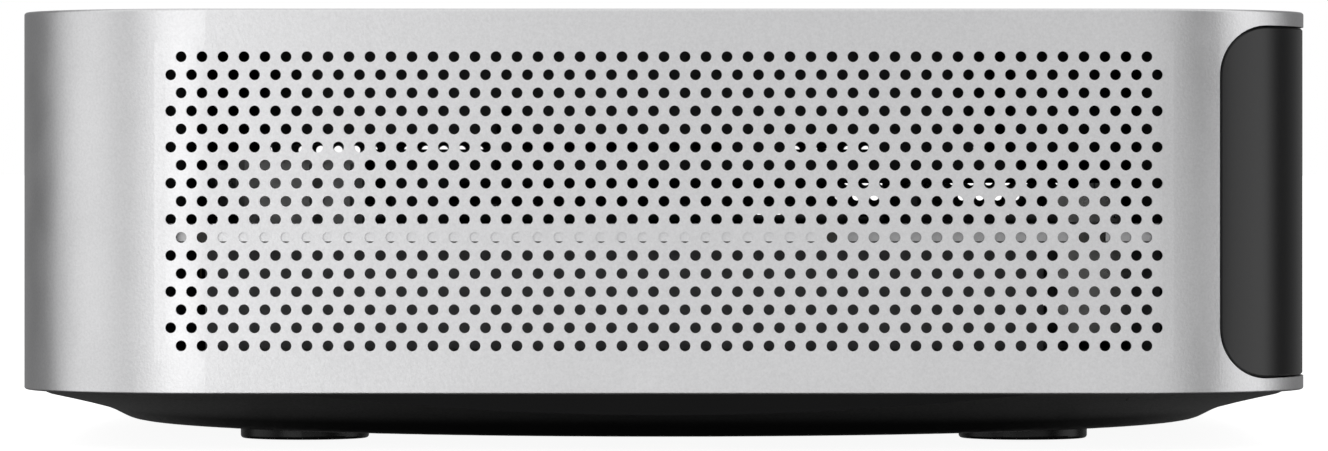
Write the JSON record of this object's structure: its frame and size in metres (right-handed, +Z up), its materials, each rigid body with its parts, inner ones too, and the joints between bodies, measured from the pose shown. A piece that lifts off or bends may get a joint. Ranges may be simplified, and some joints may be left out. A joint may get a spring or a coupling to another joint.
{
  "type": "mini pc",
  "caption": "Square desktop mini computer: aluminium sleeve with finely perforated sides, black rear socket panel and a round black base dish on rubber feet.",
  "frame": {"origin": "on the desk, under the middle of the case", "axes": "+Z up; the front with the power button faces -Y, the rear socket panel faces +Y, the perforated sides face +X and -X"},
  "size_m": [0.1124, 0.1124, 0.0378],
  "materials": {
    "sleeve_aluminium": "bead-blasted, clear anodised",
    "button_aluminium": "bead-blasted, clear anodised",
    "panel_plastic": "fine satin mould texture",
    "base_plastic": "fine satin mould texture",
    "rubber": "matt",
    "sheet_steel": "nickel-plated sheet",
    "screw_steel": "dark zinc",
    "brass": "machined",
    "circuit_board": "solder mask over glass laminate",
    "connector_plastic": "glass-filled moulding",
    "socket_plastic": "glass-filled moulding",
    "inductor_ferrite": "pressed ferrite powder",
    "contact_gold": "gold-plated",
    "chip_plastic": "moulded epoxy",
    "processor_package": "laminate with a polished die",
    "capacitor_can": "plated can",
    "clear_plastic": "clear moulding",
    "spreader_aluminium": "stamped and cast",
    "blackened_metal": "black nickel and black anodised",
    "pad_silicone": "soft silicone",
    "copper": "copper, lightly oxidised",
    "fan_plastic": "moulded",
    "magnet": "bonded ferrite",
    "lead_insulation": "soft jacket",
    "antenna_film": "polyimide film"
  },
  "bodies": {
    "case": {"antenna_leads": "lead_insulation", "antennas": "antenna_film", "audio_jack": "connector_plastic", "base_and_clamp_screws": "screw_steel", "base_dish": "base_plastic", "board_standoffs": "screw_steel", "capacitors": "capacitor_can", "card_sockets": "socket_plastic", "card_standoffs": "brass", "coin_cell": "capacitor_can", "cold_plate": "blackened_metal", "controller_chips": "chip_plastic", "cooler_fins": "blackened_metal", "cooler_plate": "blackened_metal", "drive_card": "circuit_board", "drive_chips": "chip_plastic", "drive_heatspreader": "spreader_aluminium", "fan_bearing": "brass", "fan_cable": "lead_insulation", "fan_housing": "fan_plastic", "fan_lid": "sheet_steel", "fan_plug": "connector_plastic", "fan_stator": "copper", "heat_pipes": "blackened_metal", "inductors": "inductor_ferrite", "io_bracket": "sheet_steel", "light_pipe": "clear_plastic", "main_board": "circuit_board", "memory_chips": "chip_plastic", "memory_modules": "circuit_board", "memory_sockets": "socket_plastic", "network_port": "sheet_steel", "port_contacts": "contact_gold", "port_risers": "connector_plastic", "port_tongues": "connector_plastic", "power_jack": "connector_plastic", "power_switch": "connector_plastic", "processor": "processor_package", "rear_panel": "panel_plastic", "rubber_feet": "rubber", "screw_covers": "base_plastic", "side_grille_left": "sleeve_aluminium", "side_grille_right": "sleeve_aluminium", "small_screws": "screw_steel", "thermal_pad": "pad_silicone", "threaded_inserts": "brass", "type_a_shells": "sheet_steel", "type_c_shells": "sheet_steel", "unibody_shell": "sleeve_aluminium", "video_shells": "sheet_steel", "wireless_card": "circuit_board", "wireless_shield": "sheet_steel"},
    "power_button": {"power_button": "button_aluminium"},
    "fan_rotor": {"fan_rotor": "fan_plastic", "fan_magnet": "magnet", "fan_shaft": "screw_steel"},
    "latch_upper_front": {"latch_upper_front": "sheet_steel"},
    "latch_upper_rear": {"latch_upper_rear": "sheet_steel"},
    "latch_lower_front": {"latch_lower_front": "sheet_steel"},
    "latch_lower_rear": {"latch_lower_rear": "sheet_steel"}
  },
  "joints": [
    {"name": "power_button_press", "type": "slide", "parent": "case", "child": "power_button", "axis": [0, 1, 0], "range_m": [0, 0.0005], "stiffness_N_per_m": 2500},
    {"name": "fan_spin", "type": "hinge", "parent": "case", "child": "fan_rotor", "pos_m": [0, -0.003, 0.03], "axis": [0, 0, 1], "continuous": true},
    {"name": "latch_upper_front_open", "type": "hinge", "parent": "case", "child": "latch_upper_front", "pos_m": [0.0323, -0.0389, 0.0106], "axis": [0, 0, 1], "range_deg": [0, 6], "stiffness_Nm_per_rad": 0.08},
    {"name": "latch_upper_rear_open", "type": "hinge", "parent": "case", "child": "latch_upper_rear", "pos_m": [0.0323, 0.0321, 0.0106], "axis": [0, 0, -1], "range_deg": [0, 6], "stiffness_Nm_per_rad": 0.08},
    {"name": "latch_lower_front_open", "type": "hinge", "parent": "case", "child": "latch_lower_front", "pos_m": [0.0253, -0.0389, 0.0146], "axis": [0, 0, 1], "range_deg": [0, 6], "stiffness_Nm_per_rad": 0.08},
    {"name": "latch_lower_rear_open", "type": "hinge", "parent": "case", "child": "latch_lower_rear", "pos_m": [0.0253, 0.0321, 0.0146], "axis": [0, 0, -1], "range_deg": [0, 6], "stiffness_Nm_per_rad": 0.08}
  ]
}
